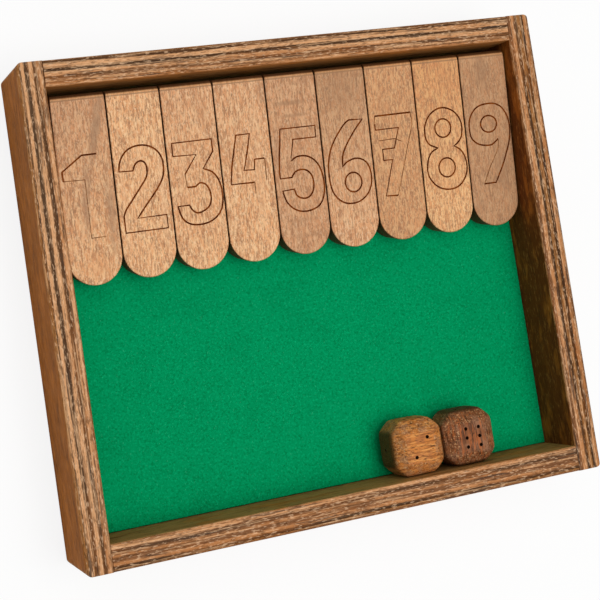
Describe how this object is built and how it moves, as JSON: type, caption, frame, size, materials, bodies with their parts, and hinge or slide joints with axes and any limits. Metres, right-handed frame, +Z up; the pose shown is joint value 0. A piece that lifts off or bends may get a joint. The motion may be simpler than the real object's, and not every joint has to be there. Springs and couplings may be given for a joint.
{
  "type": "shut the box game",
  "caption": "Open wooden tray lined with felt, with a row of hinged number tiles on a hidden rod and loose wooden dice, for a dice game.",
  "frame": {"origin": "middle of the underside, level with what the tray stands on", "axes": "+X along the row of tiles from 1 to 9, +Y from the bottom rail towards the tiles' hinged ends, +Z up out of the open tray"},
  "size_m": [0.19, 0.168, 0.035],
  "materials": {
    "plywood": "walnut-stained birch plywood, edges showing the plies",
    "felt": "short-napped green felt",
    "rod_steel": "drawn steel rod",
    "tile_wood": "stained beech, sanded, satin",
    "dice_wood": "stained beech, tumbled smooth"
  },
  "bodies": {
    "tray": {"left_side": "plywood", "right_side": "plywood", "top_rail": "plywood", "bottom_rail": "plywood", "base_board": "plywood", "felt": "felt", "hinge_rod": "rod_steel"},
    "tile_1": {"tile_1": "tile_wood"},
    "tile_2": {"tile_2": "tile_wood"},
    "tile_3": {"tile_3": "tile_wood"},
    "tile_4": {"tile_4": "tile_wood"},
    "tile_5": {"tile_5": "tile_wood"},
    "tile_6": {"tile_6": "tile_wood"},
    "tile_7": {"tile_7": "tile_wood"},
    "tile_8": {"tile_8": "tile_wood"},
    "tile_9": {"tile_9": "tile_wood"},
    "die_left": {"die_left": "dice_wood"},
    "die_right": {"die_right": "dice_wood"}
  },
  "joints": [
    {"name": "tile_1_hinge", "type": "hinge", "parent": "tray", "child": "tile_1", "pos_m": [0, 0.0671, 0.024], "axis": [-1, 0, 0], "range_deg": [0, 111.5]},
    {"name": "tile_2_hinge", "type": "hinge", "parent": "tray", "child": "tile_2", "pos_m": [0, 0.0671, 0.024], "axis": [-1, 0, 0], "range_deg": [0, 111.5]},
    {"name": "tile_3_hinge", "type": "hinge", "parent": "tray", "child": "tile_3", "pos_m": [0, 0.0671, 0.024], "axis": [-1, 0, 0], "range_deg": [0, 111.5]},
    {"name": "tile_4_hinge", "type": "hinge", "parent": "tray", "child": "tile_4", "pos_m": [0, 0.0671, 0.024], "axis": [-1, 0, 0], "range_deg": [0, 111.5]},
    {"name": "tile_5_hinge", "type": "hinge", "parent": "tray", "child": "tile_5", "pos_m": [0, 0.0671, 0.024], "axis": [-1, 0, 0], "range_deg": [0, 111.5]},
    {"name": "tile_6_hinge", "type": "hinge", "parent": "tray", "child": "tile_6", "pos_m": [0, 0.0671, 0.024], "axis": [-1, 0, 0], "range_deg": [0, 111.5]},
    {"name": "tile_7_hinge", "type": "hinge", "parent": "tray", "child": "tile_7", "pos_m": [0, 0.0671, 0.024], "axis": [-1, 0, 0], "range_deg": [0, 111.5]},
    {"name": "tile_8_hinge", "type": "hinge", "parent": "tray", "child": "tile_8", "pos_m": [0, 0.0671, 0.024], "axis": [-1, 0, 0], "range_deg": [0, 111.5]},
    {"name": "tile_9_hinge", "type": "hinge", "parent": "tray", "child": "tile_9", "pos_m": [0, 0.0671, 0.024], "axis": [-1, 0, 0], "range_deg": [0, 111.5]},
    {"name": "die_left_lift", "type": "slide", "parent": "tray", "child": "die_left", "axis": [0, 0, 1], "range_m": [0, 0.06]},
    {"name": "die_right_lift", "type": "slide", "parent": "tray", "child": "die_right", "axis": [0, 0, 1], "range_m": [0, 0.06]}
  ]
}
